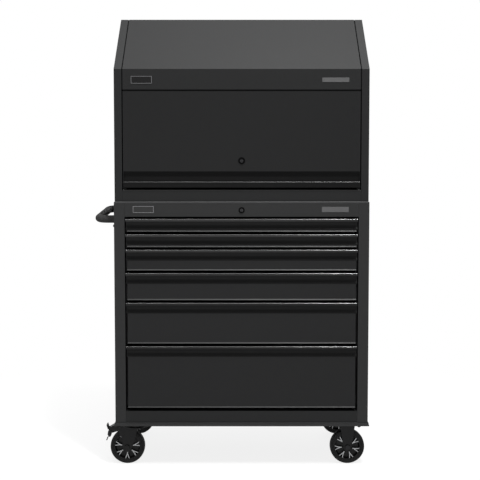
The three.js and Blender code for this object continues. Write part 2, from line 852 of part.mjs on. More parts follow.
function forkLegs(outline) {
  return joined([
    prismY(outline, forkInner, forkOuter),
    prismY(outline, -forkOuter, -forkInner),
  ]);
}

function mountingPlate() {
  const halfLength = plateLength / 2;
  const halfPlate = plateWidth / 2;
  return slab(-halfLength, halfLength, -halfPlate, halfPlate, plateUnder, plateUnder + plateGauge);
}

function swivelPlate() {
  const pin = bar(kingpinRadius, [0, 0, crownUnder], [0, 0, plateUnder + plateGauge / 2], lockSides);
  return mountingPlate().add(pin);
}

// out is -1 or 1: the side of the swivel axis that the wheel trails to.
function swivelFork(out) {
  const crownTop = crownUnder + crownGauge;
  const hub = [out * trail, wheelRadius];
  const hubEnd = arc([trail, wheelRadius], hubRadius, 0, -0.5, curveSteps);
  const ear = crownTop - earDrop;
  const shoulder = (ear + wheelRadius) / 2;
  const outline = [
    ...hubEnd,
    [trail - hubRadius - shoulderReach, shoulder],
    [-forkFront, crownTop],
    [brakePivotX + earMargin, crownTop],
    [brakePivotX + earMargin, ear],
    [trail + hubRadius, shoulder],
  ].map(([x, z]) => [out * x, z]);
  const crown = bar(crownRadius, [0, 0, crownUnder], [0, 0, crownTop], crownSides);
  const raceway = bar(racewayRadius, [0, 0, crownUnder], [0, 0, plateUnder - seam], crownSides);
  const pinX = out * brakePivotX;
  const pin = bar(
    brakePinRadius, [pinX, -forkOuter, brakePivotZ], [pinX, forkOuter, brakePivotZ], roundSides,
  );
  const bore = bar(kingpinRadius + seam, [0, 0, crownUnder - overrun], [0, 0, casterHeight], lockSides);
  const hole = axleHole(hub);
  return joined([crown, raceway, forkLegs(outline), pin]).subtract(bore).subtract(hole);
}

function axleHole([x, z]) {
  const past = forkOuter + overrun;
  return bar(axleRadius + seam, [x, -past, z], [x, past, z], lockSides);
}

function rigidFork() {
  const outline = [
    ...arc([0, wheelRadius], rigidHubRadius, 0.5, 1, curveSteps),
    [rigidForkHalf, plateUnder + plateGauge / 2],
    [-rigidForkHalf, plateUnder + plateGauge / 2],
  ];
  const hole = axleHole([0, wheelRadius]);
  return mountingPlate().add(forkLegs(outline)).subtract(hole);
}

// A closed [radius, y] profile turned about Y. Its facets, not its corners, lie at the radius, one of them
// at the bottom for the wheel to stand on.
function turned(profile) {
  const halfStep = Math.PI / wheelSteps;
  const points = [...profile, profile[0]].map(([r, y]) => new THREE.Vector2(r / Math.cos(halfStep), y));
  const lathe = new THREE.LatheGeometry(points, wheelSteps);
  lathe.rotateY(halfStep);
  return solidOf(lathe);
}

// Tyre and rim turn about Y, with the wheel's centre at the origin.
function tyre() {
  const half = tyreWidth / 2;
  const bead = half - beadInset;
  const inner = wheelRadius - tyreThickness;
  const shoulder = tyreThickness * tyreShoulderShare;
  const side = tyreThickness * tyreSideShare;
  return turned([
    [inner, -bead],
    [inner + side, -half],
    [wheelRadius - shoulder, -half + shoulder],
    [wheelRadius, -half + side],
    [wheelRadius, half - side],
    [wheelRadius - shoulder, half - shoulder],
    [inner + side, half],
    [inner, bead],
  ]);
}

function spoke(face) {
  const angle = THREE.MathUtils.degToRad(spokeSplay);
  const half = spokeWidth / 2;
  const inner = rimHubRadius - half;
  const outer = rimRadius - rimRing / 2;
  const spread = outer * Math.tan(angle);
  const outline = [
    [-half, inner],
    [half, inner],
    [half, spokeFork],
    [spread + half, outer],
    [spread - half, outer],
    [0, spokeFork + spokeWidth],
    [-spread + half, outer],
    [-spread - half, outer],
    [-half, spokeFork],
  ];
  const root = face * (webThickness / 2 - wheelSlack);
  return prismY(outline, root, face * (webThickness / 2 + spokeHeight));
}

function rim() {
  const ringHalf = tyreWidth / 2 - beadInset;
  const hubHalf = forkInner - wheelSlack;
  const webHalf = webThickness / 2;
  const ring = rimRadius - rimRing;
  const bore = axleRadius + seam;
  let solid = turned([
    [bore, -hubHalf],
    [rimHubRadius, -hubHalf],
    [rimHubRadius, -webHalf],
    [ring, -webHalf],
    [ring, -ringHalf],
    [rimRadius, -ringHalf],
    [rimRadius, ringHalf],
    [ring, ringHalf],
    [ring, webHalf],
    [rimHubRadius, webHalf],
    [rimHubRadius, hubHalf],
    [bore, hubHalf],
  ]);
  for (const face of [-1, 1]) {
    const one = spoke(face);
    for (let i = 0; i < spokeCount; i += 1) {
      solid = solid.add(spun(one, i / spokeCount));
    }
  }
  return solid;
}

// A solid turned about Y by a share of a full turn.
function spun(solid, turns) {
  const geometry = geometryOf(solid);
  geometry.rotateY(2 * Math.PI * turns);
  return solidOf(geometry);
}

function axle() {
  const end = forkOuter + seam + axleHead;
  const shank = bar(axleRadius, [0, -end, 0], [0, end, 0], lockSides);
  const heads = [-1, 1].map((side) => bar(
    axleHeadRadius, [0, side * (forkOuter + seam), 0], [0, side * end, 0], nutSides,
  ));
  return joined([shank, ...heads]);
}

function brakeLever(out) {
  const half = brakeWidth / 2;
  const at = ([x, rise]) => [out * (trail + x), tyreTop + rise];
  const top = [brakePivotOut, brakePivotRise + brakeBarrelRadius];
  const low = [brakePivotOut, brakePivotRise - brakeBarrelRadius];
  const pedal = [
    top,
    [pedalKneeOut, pedalKneeRise],
    [pedalTipOut, pedalTipRise],
    [pedalHookOut, pedalHookRise],
  ];
  const shoe = [
    [brakePivotOut, brakePivotRise],
    [shoeKneeOut, shoeKneeRise],
    [shoeTipOut, -shoeTipDrop],
  ];
  const cheek = [
    low,
    [cheekInner, -cheekDrop],
    [cheekOut, -cheekDrop],
    [shoeTipOut, -shoeTipDrop],
    [pedalTipOut, pedalTipRise],
    [pedalKneeOut, pedalKneeRise],
    top,
  ];
  const [x, z] = at([brakePivotOut, brakePivotRise]);
  const [rodX, rodZ] = at([(cheekInner + cheekOut) / 2, brakeGauge - cheekDrop]);
  const [endX, endZ] = at([releaseRodOut, -releaseRodDrop]);
  const rodY = half - brakeGauge;
  const parts = [
    bar(brakeBarrelRadius, [x, -half, z], [x, half, z]),
    prismY(folded(pedal, -brakeGauge).map(at), -half, half),
    prismY(folded(shoe, -brakeGauge).map(at), -half, half),
    prismY(cheek.map(at), half - brakeGauge, half),
    prismY(cheek.map(at), -half + brakeGauge, -half),
    bar(releaseRodRadius, [rodX, rodY, rodZ], [endX, rodY, endZ], knuckleSides),
  ];
  const past = half + overrun;
  const bore = bar(brakePinRadius + boreSlack, [x, -past, z], [x, past, z]);
  return joined(parts).subtract(bore);
}

function buildWheel(label, hub) {
  place(`${label}_tyre`, tyre(), materials.rubber, hub);
  place(`${label}_rim`, rim(), materials.rim, hub);
  place(`${label}_axle`, axle(), materials.steel, hub);
}

function buildCasters() {
  const rows = [['front', casterInset], ['rear', cabinetDepth - casterInset]];
  for (const [label, y] of rows) {
    const left = groupAt(-casterX, y, 0);
    place(`${label}_left_swivel_plate`, swivelPlate(), materials.black, left);
    place(`${label}_left_fork`, swivelFork(-1), materials.black, left);
    place(`${label}_left_brake`, brakeLever(-1), materials.black, left);
    buildWheel(`${label}_left`, groupAt(-trail, 0, wheelRadius, left));
    const right = groupAt(casterX, y, 0);
    place(`${label}_right_fork`, rigidFork(), materials.black, right);
    buildWheel(`${label}_right`, groupAt(0, 0, wheelRadius, right));
  }
}

place('cabinet_left_side', cabinetSide(-1), materials.body);
place('cabinet_right_side', cabinetSide(1), materials.body);
place('cabinet_top_panel', cabinetTopPanel(), materials.body);
place('cabinet_header_rail', cabinetHeader(), materials.body);
place('cabinet_back_panel', cabinetBack(), materials.body);
place('cabinet_base_pan', cabinetBase(), materials.body);
place('left_runner_rack', runnerRack(-1), materials.steel);
place('right_runner_rack', runnerRack(1), materials.steel);
place('side_handle', sideHandle(), materials.black);
const headerLock = groupAt(0, 0, cabinetTop - lockDrop);
place('cabinet_lock_housing', lockHousing(cabinetLockRadius), materials.black, headerLock);
place('cabinet_lock_barrel', lockBarrel(), materials.steel, headerLock);
buildDrawers();
buildHutch();
buildCasters();

// The origin goes to the middle of the footprint, on the floor.
const extent = new THREE.Box3().setFromObject(cabinet);
const middle = extent.getCenter(new THREE.Vector3());
cabinet.position.set(-middle.x, -middle.y, -extent.min.z);

const group = new THREE.Group();
group.add(cabinet);

export default group;
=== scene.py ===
"""Looks of the tool chest and rolling cabinet: finishes, fine pieces and the studio.

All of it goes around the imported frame, in metres and in the frame's own axes: +Z up, and the
front faces -Y.
"""

import json
import math

import bmesh
import bpy
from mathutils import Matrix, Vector


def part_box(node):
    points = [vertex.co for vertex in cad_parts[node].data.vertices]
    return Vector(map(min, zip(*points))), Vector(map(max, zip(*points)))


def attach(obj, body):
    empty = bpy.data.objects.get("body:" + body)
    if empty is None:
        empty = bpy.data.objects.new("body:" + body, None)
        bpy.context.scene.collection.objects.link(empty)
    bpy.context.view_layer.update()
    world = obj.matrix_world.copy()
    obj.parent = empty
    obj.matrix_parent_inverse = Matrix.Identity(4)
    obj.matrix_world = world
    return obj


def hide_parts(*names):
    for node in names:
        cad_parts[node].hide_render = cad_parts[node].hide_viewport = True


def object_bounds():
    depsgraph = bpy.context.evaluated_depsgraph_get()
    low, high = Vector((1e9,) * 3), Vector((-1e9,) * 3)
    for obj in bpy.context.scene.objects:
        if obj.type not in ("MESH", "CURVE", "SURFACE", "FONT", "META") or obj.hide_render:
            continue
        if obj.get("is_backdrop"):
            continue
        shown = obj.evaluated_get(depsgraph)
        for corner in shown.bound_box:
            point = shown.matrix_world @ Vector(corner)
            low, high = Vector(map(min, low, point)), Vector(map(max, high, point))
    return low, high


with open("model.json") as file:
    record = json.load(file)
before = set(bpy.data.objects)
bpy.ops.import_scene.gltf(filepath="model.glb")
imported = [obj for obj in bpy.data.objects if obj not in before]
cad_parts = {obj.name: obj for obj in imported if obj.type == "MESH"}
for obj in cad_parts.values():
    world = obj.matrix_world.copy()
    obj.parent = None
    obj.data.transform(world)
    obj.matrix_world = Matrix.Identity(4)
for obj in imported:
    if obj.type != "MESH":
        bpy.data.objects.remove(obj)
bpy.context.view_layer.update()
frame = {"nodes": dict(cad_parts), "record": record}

MM = 0.001
FRAME_PX = 480

# Camera, found from the taper of the sides and the heights of the wheels. Its distance is from
# the cabinet's front and its height from the floor. FOCAL_PX and CENTRE_PX are in pixels of the
# photo, and the lens is shifted down because the horizon lies above the middle of the picture.
CAMERA_DISTANCE = 3.060
CAMERA_HEIGHT = 1.1062
CAMERA_PITCH = math.radians(3.210)
FOCAL_PX = 856.4
CENTRE_PX = 241.64
SHIFT_Y = -0.06
SENSOR = 36.0
CLIP_END = 100

# Places of the main pieces
TOP_LOW, TOP_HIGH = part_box("cabinet_top_panel")
SIDE_LOW, SIDE_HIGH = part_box("cabinet_left_side")
HEADER_LOW, HEADER_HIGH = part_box("cabinet_header_rail")
HUTCH_LOW, HUTCH_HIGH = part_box("hutch_left_side")
ROOF_LOW, ROOF_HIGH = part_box("hutch_roof")
BASE_LOW, BASE_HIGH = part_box("cabinet_base_pan")
MID_X = (TOP_LOW.x + TOP_HIGH.x) / 2
CABINET_FRONT = TOP_LOW.y


# Materials


def nodes_of(material):
    material.use_nodes = True
    tree = material.node_tree
    return tree, tree.nodes["Principled BSDF"]


def add(tree, kind, **values):
    node = tree.nodes.new(kind)
    for name, value in values.items():
        setattr(node, name, value)
    return node


def noise(tree, vector, scale, detail=3.0, roughness=0.6):
    node = add(tree, "ShaderNodeTexNoise")
    node.inputs["Scale"].default_value = scale
    node.inputs["Detail"].default_value = detail
    node.inputs["Roughness"].default_value = roughness
    tree.links.new(vector, node.inputs["Vector"])
    return node.outputs["Fac"]


def ramp(tree, value, low, high, from_low=0.3, from_high=0.7):
    node = add(tree, "ShaderNodeMapRange", clamp=True)
    node.inputs["From Min"].default_value = from_low
    node.inputs["From Max"].default_value = from_high
    node.inputs["To Min"].default_value = low
    node.inputs["To Max"].default_value = high
    tree.links.new(value, node.inputs["Value"])
    return node.outputs["Result"]


def tint(tree, value, dark, light):
    node = add(tree, "ShaderNodeMix", data_type="RGBA")
    node.inputs["A"].default_value = (*dark, 1)
    node.inputs["B"].default_value = (*light, 1)
    tree.links.new(value, node.inputs["Factor"])
    return node.outputs["Result"]


def bump(tree, shader, height, distance, strength=1.0):
    node = add(tree, "ShaderNodeBump")
    node.inputs["Distance"].default_value = distance
    node.inputs["Strength"].default_value = strength
    tree.links.new(height, node.inputs["Height"])
    tree.links.new(node.outputs["Normal"], shader.inputs["Normal"])


def place_of(tree, stretch=(1, 1, 1)):
    """Object coordinates in metres, stretched along the axes."""
    source = add(tree, "ShaderNodeTexCoord").outputs["Object"]
    mapping = add(tree, "ShaderNodeMapping")
    mapping.inputs["Scale"].default_value = stretch
    tree.links.new(source, mapping.inputs["Vector"])
    return mapping.outputs["Vector"]


def shade(base, share):
    return tuple(min(1.0, channel * share) for channel in base)


# Scales of the noises, in features per metre
POWDER_BROAD, POWDER_FINE = 210, 1150
DRAWN_LINES, DRAWN_CLOUD = 900, 26
MOULDED_CLOUD, MOULDED_FINE = 60, 1600


def powder_coat(name, base, rough, level=0.5, mottle=0.5, grain=9e-5):
    """Sprayed powder: a fine pebbled skin over broader, softer mottling."""
    tree, shader = nodes_of(material := bpy.data.materials.new(name))
    where = place_of(tree)
    broad = noise(tree, where, POWDER_BROAD, 2.0)
    fine = noise(tree, where, POWDER_FINE, 3.0, 0.7)
    tree.links.new(
        tint(tree, broad, shade(base, 1 - mottle), shade(base, 1 + mottle)),
        shader.inputs["Base Color"],
    )
    tree.links.new(ramp(tree, broad, rough - 0.05, rough + 0.07), shader.inputs["Roughness"])
    bump(tree, shader, fine, grain)
    shader.inputs["Specular IOR Level"].default_value = level
    return material


def drawn_metal(name, base, rough, stretch, metallic=1.0, spread=0.06, grain=2.5e-5, level=0.5):
    """Metal with fine lines along one axis. Roughness varies by spread to either side."""
    tree, shader = nodes_of(material := bpy.data.materials.new(name))
    lines = noise(tree, place_of(tree, stretch), DRAWN_LINES, 4.0, 0.65)
    cloud = noise(tree, place_of(tree), DRAWN_CLOUD, 3.0)
    tree.links.new(
        tint(tree, cloud, shade(base, 0.9), shade(base, 1.1)), shader.inputs["Base Color"]
    )
    tree.links.new(ramp(tree, lines, rough - spread, rough + spread), shader.inputs["Roughness"])
    bump(tree, shader, lines, grain)
    shader.inputs["Metallic"].default_value = metallic
    shader.inputs["Specular IOR Level"].default_value = level
    return material


def moulded(name, base, rough, level=0.5, metallic=0.0, pore=3e-5, mottle=0.15):
    """Moulded rubber or plastic with a faint surface grain and blotches of handling."""
    tree, shader = nodes_of(material := bpy.data.materials.new(name))
    where = place_of(tree)
    cloud = noise(tree, where, MOULDED_CLOUD, 4.0)
    fine = noise(tree, where, MOULDED_FINE, 2.0)
    tree.links.new(
        tint(tree, cloud, shade(base, 1 - mottle), shade(base, 1 + mottle)),
        shader.inputs["Base Color"],
    )
    tree.links.new(ramp(tree, cloud, rough - 0.06, rough + 0.08), shader.inputs["Roughness"])
    bump(tree, shader, fine, pore)
    shader.inputs["Specular IOR Level"].default_value = level
    shader.inputs["Metallic"].default_value = metallic
    return material


ALONG_X = (0.03, 1, 1)
ALONG_Y = (1, 0.03, 1)
DARK = (0.003, 0.003, 0.0031)


def anodised(name, rough, spread, level, base=DARK, grain=2.5e-5):
    """Black anodised aluminium, drawn along x, where level sets how much it reflects."""
    return drawn_metal(name, base, rough, ALONG_X, 0.0, spread, grain, level)


FINISHES = {
    "case_paint": powder_coat("case_powder_coat", (0.0058, 0.006, 0.0062), 0.5, 0.27),
    "drawer_paint": powder_coat(
        "drawer_powder_coat", (0.0046, 0.0047, 0.005), 0.46, 0.18, grain=6e-5
    ),
    # A lighter copy of the case paint for the top panel: painted highlight along the cabinet's top
    # edge
    "lit_top_edge": powder_coat("lit_top_powder_coat", (0.008, 0.0083, 0.0086), 0.55, 0.32),
    "black_anodised": anodised("black_anodised", 0.22, 0.02, 0.18),
    # A glossier copy of the anodised finish for the pulls' upward faces: painted highlight along
    # the noses
    "nose_highlight": anodised("highlight_anodised", 0.2, 0.004, 0.64, grain=1e-6),
    # Darker copies of the case paint for the hutch, the base pan and the door: painted shade
    "hutch_case": powder_coat("shaded_hutch_powder_coat", (0.0048, 0.005, 0.0052), 0.52, 0.19),
    "hutch_door": powder_coat("shaded_door_powder_coat", (0.0034, 0.0035, 0.0037), 0.48, 0.17, grain=6e-5),
    # A glossier copy of the anodised finish for the beads: painted highlight lines along the door
    # pull's lip and the hutch rail's edge
    "lip_bead": anodised("bead_highlight_anodised", 0.34, 0.02, 0.5),
    # A duller copy of the anodised finish for the drawer pulls' channels: painted shade in the
    # recess
    "channel": anodised("shaded_channel_anodised", 0.34, 0.03, 0.09, base=(0.0032, 0.0032, 0.0033)),
    "black_satin": anodised("black_satin", 0.34, 0.03, 0.06),
    "black_steel": powder_coat(
        "black_gloss_paint", (0.004, 0.004, 0.0042), 0.4, 0.16, mottle=0.16, grain=4e-5
    ),
    "zinc_steel": drawn_metal("zinc_plated_steel", (0.4, 0.41, 0.43), 0.36, ALONG_Y),
    "lock_steel": drawn_metal("black_nickel", (0.022, 0.022, 0.023), 0.3, ALONG_Y, spread=0.04),
    "matte_black": moulded("matte_black", (0.0018, 0.0018, 0.0019), 0.8, 0.03),
    "grip_coat": moulded("grip_coat", (0.026, 0.0255, 0.0255), 0.78, 0.09, mottle=0.6, pore=6e-5),
    "plate_grey": moulded("plate_grey", (0.06, 0.06, 0.061), 0.5, 0.25),
    "plate_edge": drawn_metal("plate_edge", (0.17, 0.17, 0.175), 0.4, ALONG_X),
    "tyre_rubber": moulded("tyre_rubber", (0.006, 0.006, 0.0061), 0.62, 0.14),
    "wheel_rim": moulded("wheel_silver", (0.3, 0.305, 0.31), 0.34, metallic=0.8),
}
SLOTS = {row["node"]: row["material_slot"] for row in frame["record"]["subparts"]}
BODIES = {
    node: name
    for name, members in frame["record"]["behaviour"]["bodies"].items()
    for node in members
}


# Meshes


WELD = 1e-6
SHARP_FROM = math.radians(38)
BEVEL_FROM = 0.6


def weighted(piece):
    piece.modifiers.new("normals", "WEIGHTED_NORMAL").keep_sharp = True


def settle(name, work, slot, body, bevel=0.0, segments=2, replaces=()):
    """A finished piece from a bmesh: edges rounded, material given, riding on its body."""
    bmesh.ops.remove_doubles(work, verts=work.verts, dist=WELD)
    bmesh.ops.recalc_face_normals(work, faces=work.faces)
    if bevel:
        sharp = [
            edge for edge in work.edges
            if len(edge.link_faces) == 2 and edge.calc_face_angle(0) > BEVEL_FROM
        ]
        bmesh.ops.bevel(
            work, geom=sharp, offset=bevel, segments=segments, profile=0.6, affect="EDGES",
            clamp_overlap=True,
        )
    mesh = bpy.data.meshes.new(name)
    work.to_mesh(mesh)
    work.free()
    mesh.shade_smooth()
    mesh.set_sharp_from_angle(angle=SHARP_FROM)
    mesh.materials.append(FINISHES[slot])
    piece = bpy.data.objects.new(name, mesh)
    bpy.context.scene.collection.objects.link(piece)
    weighted(piece)
    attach(piece, body)
    if replaces:
        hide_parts(*replaces)
    return piece


def loft(work, rings, closed=False):
    """Skins rings of equal point count, and caps the ends unless the rings close on themselves."""
    made = [[work.verts.new(point) for point in ring] for ring in rings]
    pairs = list(zip(made, made[1:] + made[:1] if closed else made[1:]))
    count = len(made[0])
    for a, b in pairs:
        for i in range(count):
            j = (i + 1) % count
            work.faces.new((a[i], a[j], b[j], b[i]))
    if not closed:
        work.faces.new(reversed(made[0]))
        work.faces.new(made[-1])


def prism_x(work, outline, x0, x1):
    loft(work, [[(x, y, z) for y, z in outline] for x in (x0, x1)])


def block(work, low, high):
    ring = [(low[0], low[1]), (high[0], low[1]), (high[0], high[1]), (low[0], high[1])]
    loft(work, [[(x, y, z) for x, y in ring] for z in (low[2], high[2])])


def turned(work, profile, centre, axis, steps=64, closed=False):
    """A [distance along the axis, radius] profile turned about an axis through a centre."""
    turn = Vector((0, 0, 1)).rotation_difference(Vector(axis)).to_matrix()
    rings = []
    for along, radius in profile:
        ring = []
        for i in range(steps):
            angle = 2 * math.pi * i / steps
            local = Vector((radius * math.cos(angle), radius * math.sin(angle), along))
            ring.append(Vector(centre) + turn @ local)
        rings.append(ring)
    loft(work, rings, closed)


def arc(centre, radius, start, end, steps):
    """Points on an arc in a plane, angles in degrees."""
    points = []
    for i in range(steps + 1):
        angle = math.radians(start + (end - start) * i / steps)
        points.append((centre[0] + radius * math.cos(angle), centre[1] + radius * math.sin(angle)))
    return points


def tube(work, path, radius, sides=28):
    """A round tube along a path of points, square at both ends."""
    points = [Vector(p) for p in path]
    rings = []
    side = Vector((0, 0, 1))
    for i, point in enumerate(points):
        before = points[max(i - 1, 0)]
        after = points[min(i + 1, len(points) - 1)]
        along = (after - before).normalized()
        side = side - along * side.dot(along)
        side.normalize()
        across = along.cross(side)
        rings.append([
            point + radius * (math.cos(a) * side + math.sin(a) * across)
            for a in (2 * math.pi * k / sides for k in range(sides))
        ])
    loft(work, rings)


# CAD nodes that keep their shape: softened edges and a finish

ROUND_FROM = math.radians(34)
EDGE_ROUND = {
    "case_paint": 0.6 * MM,
    "drawer_paint": 0.5 * MM,
    "black_anodised": 0.3 * MM,
    "black_steel": 0.6 * MM,
    "zinc_steel": 0.35 * MM,
    "lock_steel": 0.35 * MM,
    "tyre_rubber": 1.0 * MM,
    "wheel_rim": 0.5 * MM,
}
# The door and the base pan take darker copies of the paint, painted shade, and the top panel a
# lighter one, painted highlight
NODE_FINISH = {
    "hutch_door": "hutch_door",
    "cabinet_top_panel": "lit_top_edge",
    "cabinet_base_pan": "hutch_case",
    # The hinge is matte black and barely reflects: painted shade that keeps the gap above the door
    # dark
    "hinge_fixed_leaf": "matte_black",
    "hinge_moving_leaf": "matte_black",
    "hinge_pin": "matte_black",
    "cabinet_lock_housing": "matte_black",
    "door_lock_housing": "matte_black",
    "front_right_axle": "lock_steel",
    "rear_right_axle": "lock_steel",
    "left_runner_rack": "lock_steel",
    "right_runner_rack": "lock_steel",
}
DRAWERS = range(1, 7)
NODE_ROUND = {
    "cabinet_header_rail": 0.2 * MM,
    "cabinet_left_side": 0.2 * MM,
    "cabinet_right_side": 0.2 * MM,
    "cabinet_base_pan": 0.9 * MM,
    **{f"drawer_{number}_tray": 0.15 * MM for number in DRAWERS},
}


def finish_of(node):
    """The hutch takes a darker copy of the case paint: painted shade, not a paint of its own."""
    if node in NODE_FINISH:
        return NODE_FINISH[node]
    slot = SLOTS[node]
    return "hutch_case" if node.startswith("hutch") and slot == "case_paint" else slot


def dress(node):
    """Welds the node's mesh, rounds its edges and gives it its finish."""
    slot = SLOTS[node]
    piece = frame["nodes"][node]
    mesh = piece.data
    custom = mesh.attributes.get("custom_normal")
    if custom:
        mesh.attributes.remove(custom)
    mesh.materials.clear()
    mesh.materials.append(FINISHES[finish_of(node)])
    mesh.shade_smooth()
    piece.modifiers.new("weld", "WELD").merge_threshold = WELD
    rounding = piece.modifiers.new("edges", "BEVEL")
    rounding.width = NODE_ROUND.get(node, EDGE_ROUND[slot])
    rounding.segments = 2
    rounding.limit_method = "ANGLE"
    rounding.angle_limit = ROUND_FROM
    weighted(piece)


for node in frame["nodes"]:
    dress(node)


# Pulls: extruded profiles with a rounded nose, a finger channel and a foot that runs out to the
# face

PULL_GAUGE = 2.0 * MM
NOSE_RADIUS = 3.0 * MM
PULL_FILLET = 1.5 * MM
FOOT_STEPS = 14
CHANNEL_FROM = 1.5 * MM
UPWARD = 0.5

# Each pull: the height of its lip, the depths of its channel and of its fastening flange behind
# the front plane, how far it starts below the solid's top edge, its finishes outside and in the
# channel, and the shares of its height that are straight wall, turn and run-out of the foot
DRAWER_PULL = {
    "lip": 9.8 * MM, "recess": 6.5 * MM, "back": 17.7 * MM, "drop": 3.2 * MM,
    "finish": "black_anodised", "channel": "channel", "shares": (0.5, 0.25, 0.12),
}
DOOR_PULL = {
    "lip": 20.5 * MM, "recess": 8 * MM, "back": 16.2 * MM, "drop": 0,
    "finish": "black_satin", "channel": "black_satin", "shares": (0.62, 0.2, 0.04),
}


def pull_outline(height, reach, kind):
    """Outline of a pull as [y, z] points, from its top edge at z = 0 down to -height."""
    lip, recess, back = kind["lip"], kind["recess"], kind["back"]
    wall, turn, out = kind["shares"]
    half = PULL_GAUGE / 2
    nose = (NOSE_RADIUS - reach, -NOSE_RADIUS)
    start = Vector((recess, -height * wall))
    handles = [Vector((recess, -height * (wall + turn))), Vector((0, -height * (1 - out)))]
    foot = Vector((0, -height))
    bend = []
    for i in range(FOOT_STEPS + 1):
        t = i / FOOT_STEPS
        bend.append(
            (1 - t) ** 3 * start + 3 * t * (1 - t) ** 2 * handles[0]
            + 3 * t * t * (1 - t) * handles[1] + t ** 3 * foot
        )
    fillet = PULL_FILLET
    return [
        (back, 0),
        *arc(nose, NOSE_RADIUS, 90, 180, 8),
        *arc((half - reach, half - lip), half, 180, 360, 6),
        *arc(nose, NOSE_RADIUS - PULL_GAUGE, 180, 90, 4),
        *arc((recess - fillet, -PULL_GAUGE - fillet), fillet, 90, 0, 4),
        *(tuple(point) for point in bend),
        *[(y + PULL_GAUGE, z) for y, z in reversed(bend)],
        (recess + PULL_GAUGE, -PULL_GAUGE),
        (back, -PULL_GAUGE),
    ]


def build_pull(node, front, up, kind):
    """A pull that replaces a node. Its channel takes the channel's finish, for the drawers a duller
    copy that is painted shade, and the upward faces outside it a glossier copy that is painted
    highlight.

    up is 1 where the lip hangs from the top edge and -1 where it stands on the bottom edge.
    """
    low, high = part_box(node)
    height = high.z - low.z - kind["drop"]
    edge = high.z - kind["drop"] if up > 0 else low.z
    outline = pull_outline(height, front - low.y, kind)
    work = bmesh.new()
    prism_x(work, [(front + y, edge + up * z) for y, z in outline], low.x, high.x)
    piece = settle(f"{node}_extrusion", work, "black_anodised", BODIES[node], replaces=[node])
    piece.data.materials[0] = FINISHES[kind["finish"]]
    piece.data.materials.append(FINISHES["nose_highlight"])
    piece.data.materials.append(FINISHES[kind["channel"]])
    for face in piece.data.polygons:
        # Channel faces take the channel's finish (painted shade on the drawers); upward faces take
        # the glossier copy, painted highlight
        if face.center.y > front - CHANNEL_FROM:
            face.material_index = 2
        elif face.normal.z > UPWARD:
            face.material_index = 1


for number in DRAWERS:
    build_pull(f"drawer_{number}_pull", CABINET_FRONT, 1, DRAWER_PULL)
build_pull("hutch_door_pull", HUTCH_LOW.y, -1, DOOR_PULL)


def bead(name, x_span, y, z, radius, finish, body):
    """A round bead along x."""
    work = bmesh.new()
    prism_x(work, arc((y, z), radius, 0, 337.5, 15), *x_span)
    piece = settle(name, work, "black_anodised", body)
    piece.data.materials[0] = FINISHES[finish]


# Both beads take the glossier copy, which paints their highlight lines
pull_low, pull_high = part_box("hutch_door_pull")
bead(
    "door_lip_bead", (pull_low.x, pull_high.x), pull_low.y + 1.7 * MM,
    pull_low.z + DOOR_PULL["lip"], 1.9 * MM, "lip_bead", BODIES["hutch_door_pull"],
)
rail_low, rail_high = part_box("hutch_floor_pan")
bead(
    "hutch_rail_bead", (ROOF_LOW.x, ROOF_HIGH.x), rail_low.y + 1.0 * MM, rail_high.z,
    1.2 * MM, "lip_bead", "root",
)


# Wheels

TYRE_INNER = 50.5 * MM
RIM_GAP = 0.3 * MM
RIM_BORE = 6.4 * MM
ROUND_STEPS = 96
SPOKES = 7
SPOKE_MIDDLE = 34 * MM
SPOKE_SLOPE = -0.06
SPOKE_RISE = 2 * MM
WEB_GROW = 0.9 * MM
SPOKE_TURN = {"left": math.radians(181), "right": math.radians(160)}


def tyre_profile(radius, half):
    """Outline of the tyre as [along the axle, radius] points, closed on itself."""
    shoulder = 5.5 * MM
    bulge = 0.8 * MM
    crown = 0.7 * MM
    foot = half - 1.2 * MM
    tread = [
        (-half + shoulder + (2 * half - 2 * shoulder) * i / 8, radius - crown * (1 - i / 4) ** 2)
        for i in range(9)
    ]
    drop = radius - crown - shoulder
    left = arc((-half + shoulder, drop), shoulder, 180, 92, 7)
    right = arc((half - shoulder, drop), shoulder, 88, 0, 7)
    wall = [
        (half - bulge, drop - 2 * MM), (half - bulge - 0.5 * MM, drop - 2.6 * MM),
        (half - bulge, drop - 3.2 * MM), (half - 0.2 * MM, TYRE_INNER + 4 * MM), (foot, TYRE_INNER),
    ]
    mirrored = [(-a, r) for a, r in reversed(wall)]
    return [*mirrored, *left, *tread, *right, *wall]


def wheel_barrel(work, centre, half, bore, radius):
    """The dark moulded body of the rim: a rolled lip, a dished web and a hub."""
    web = 4.6 * MM
    hub = 13.5 * MM
    side = [
        (half + 2.3 * MM, bore), (half + 2.3 * MM, hub - 2 * MM), (half + 1.5 * MM, hub),
        (web + 2 * MM, hub + 1.5 * MM), (web, hub + 5 * MM), (web - 1 * MM, radius - 9 * MM),
        (web + 2 * MM, radius - 6.2 * MM), (half - 3 * MM, radius - 5 * MM),
        (half - 0.6 * MM, radius - 4.6 * MM), (half, radius - 3.6 * MM), (half, radius - 1.6 * MM),
        (half - 0.8 * MM, radius - 0.3 * MM), (half - 2 * MM, radius),
    ]
    profile = [*side, *[(-a, r) for a, r in reversed(side)]]
    turned(work, profile, centre, (0, 1, 0), ROUND_STEPS, closed=True)


def spoke_outline(grow=0.0):
    """A Y-shaped spoke from the side, as points across and outward in metres, widened by grow."""
    g = grow / MM
    right = [
        (1.5 + g, 20.5 - g), (1.7 + g, 26), (7.3 + g, 42.6), (11.2 + g, 46 - g), (10.2 + g, 48 + g)
    ]
    inside = [(6.2 - g, 47.6 + g), (4.6 - g, 43.4), (0, 30.6 + 2 * g)]
    half = [*right, *inside]
    outline = [*half, *[(-a, b) for a, b in reversed(half[:-1])]]
    return [(a * MM, b * MM) for a, b in outline]


